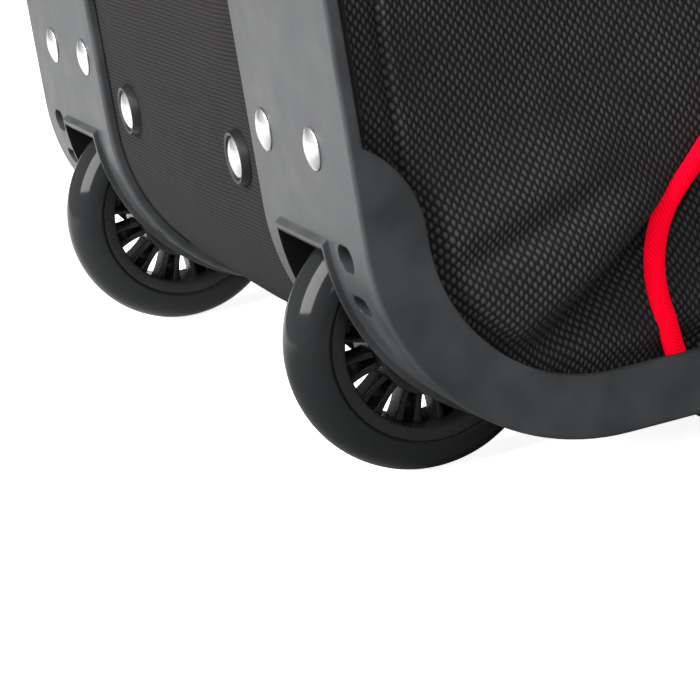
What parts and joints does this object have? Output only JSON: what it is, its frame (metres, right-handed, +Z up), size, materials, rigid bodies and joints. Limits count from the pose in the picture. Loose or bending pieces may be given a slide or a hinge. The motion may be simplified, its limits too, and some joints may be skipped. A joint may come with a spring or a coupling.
{
  "type": "hockey equipment bag",
  "caption": "Long wheeled hockey equipment bag with moulded corner wheel housings, a hinged zip lid, side carry handles, a tow handle and skid rails.",
  "frame": {"origin": "on the floor, under the middle of the overall length and width", "axes": "+X from the wheel end to the handle end, +Y to the right-hand side, +Z up"},
  "size_m": [0.9404, 0.3738, 0.3882],
  "materials": {
    "wheel_tread": "semi-gloss black cast polyurethane tread",
    "wheel_core": "black moulded nylon",
    "bearing_steel": "ground bearing steel and plated fasteners",
    "housing_plastic": "satin grey moulded polypropylene",
    "black_plastic": "satin black moulded plastic",
    "nickel": "bright nickel plate",
    "zinc_steel": "zinc plate",
    "board": "dark hardboard with a fabric cover",
    "ribbed_fabric": "dark grey fabric with fine cross ribs",
    "shell_fabric": "near-black heavy dobby nylon, matt",
    "red_piping": "bright red woven piping",
    "zip_tape": "black zip tape with a nylon coil",
    "zip_metal": "black enamel, worn at the edges",
    "webbing": "black polyester webbing",
    "grip_foam": "soft black grip",
    "clear_window": "clear vinyl"
  },
  "bodies": {
    "bag": {"axle_bolts": "bearing_steel", "axle_nuts": "bearing_steel", "axle_washers": "bearing_steel", "base_board": "board", "base_wrap": "ribbed_fabric", "bearing_balls": "bearing_steel", "bearing_inner_races": "bearing_steel", "bearing_spacers": "bearing_steel", "corner_guard_left": "housing_plastic", "corner_guard_right": "housing_plastic", "cross_brace": "zinc_steel", "end_board": "board", "grab_strap": "webbing", "guard_rivets": "nickel", "handle_end_panel": "shell_fabric", "handle_webbing_left": "webbing", "handle_webbing_right": "webbing", "housing_rivets": "nickel", "panel_rivets": "nickel", "rail_screws": "zinc_steel", "rivet_collars": "black_plastic", "side_panel_left": "shell_fabric", "side_panel_right": "shell_fabric", "side_piping_left": "red_piping", "side_piping_right": "red_piping", "skid_rail_left": "black_plastic", "skid_rail_right": "black_plastic", "tow_bracket": "black_plastic", "tow_pin": "zinc_steel", "tow_rivets": "nickel", "vent_eyelets": "nickel", "wheel_end_panel": "shell_fabric", "wheel_housing_left": "housing_plastic", "wheel_housing_right": "housing_plastic", "zip_chain_bag": "zip_tape"},
    "wheel_left": {"tyre_left": "wheel_tread", "wheel_core_left": "wheel_core", "bearing_outer_races_left": "bearing_steel"},
    "wheel_right": {"tyre_right": "wheel_tread", "wheel_core_right": "wheel_core", "bearing_outer_races_right": "bearing_steel"},
    "lid": {"lid_panel": "shell_fabric", "lid_gusset": "shell_fabric", "lid_piping": "red_piping", "zip_chain_lid": "zip_tape", "name_window": "clear_window"},
    "slider_rear": {"zip_slider_rear": "zip_metal"},
    "slider_front": {"zip_slider_front": "zip_metal"},
    "pull_rear": {"zip_pull_rear": "zip_metal"},
    "pull_front": {"zip_pull_front": "zip_metal"},
    "carry_handle_left": {"carry_loop_left": "webbing", "carry_grip_left": "grip_foam"},
    "carry_handle_right": {"carry_loop_right": "webbing", "carry_grip_right": "grip_foam"},
    "tow_handle": {"tow_bail": "black_plastic", "tow_grip": "grip_foam"}
  },
  "joints": [
    {"name": "wheel_spin_left", "type": "hinge", "parent": "bag", "child": "wheel_left", "pos_m": [-0.4302, -0.126, 0.04], "axis": [0, 1, 0], "continuous": true},
    {"name": "wheel_spin_right", "type": "hinge", "parent": "bag", "child": "wheel_right", "pos_m": [-0.4302, 0.126, 0.04], "axis": [0, 1, 0], "continuous": true},
    {"name": "lid_hinge", "type": "hinge", "parent": "bag", "child": "lid", "pos_m": [-0.4544, 0, 0.38], "axis": [0, -1, 0], "range_deg": [0, 150]},
    {"name": "zip_travel_rear", "type": "slide", "parent": "bag", "child": "slider_rear", "axis": [-1, 0, 0], "range_m": [0, 0.42]},
    {"name": "zip_travel_front", "type": "slide", "parent": "bag", "child": "slider_front", "axis": [1, 0, 0], "range_m": [0, 0.41]},
    {"name": "pull_swing_rear", "type": "hinge", "parent": "slider_rear", "child": "pull_rear", "pos_m": [-0.0086, -0.1808, 0.352], "axis": [-1, 0, 0], "range_deg": [0, 150]},
    {"name": "pull_swing_front", "type": "hinge", "parent": "slider_front", "child": "pull_front", "pos_m": [0.0086, -0.1808, 0.352], "axis": [-1, 0, 0], "range_deg": [0, 150]},
    {"name": "carry_swing_left", "type": "hinge", "parent": "bag", "child": "carry_handle_left", "pos_m": [0, -0.1804, 0.3], "axis": [-1, 0, 0], "range_deg": [0, 165]},
    {"name": "carry_swing_right", "type": "hinge", "parent": "bag", "child": "carry_handle_right", "pos_m": [0, 0.1804, 0.3], "axis": [1, 0, 0], "range_deg": [0, 165]},
    {"name": "tow_swing", "type": "hinge", "parent": "bag", "child": "tow_handle", "pos_m": [0.4572, 0, 0.285], "axis": [0, -1, 0], "range_deg": [0, 160]}
  ]
}
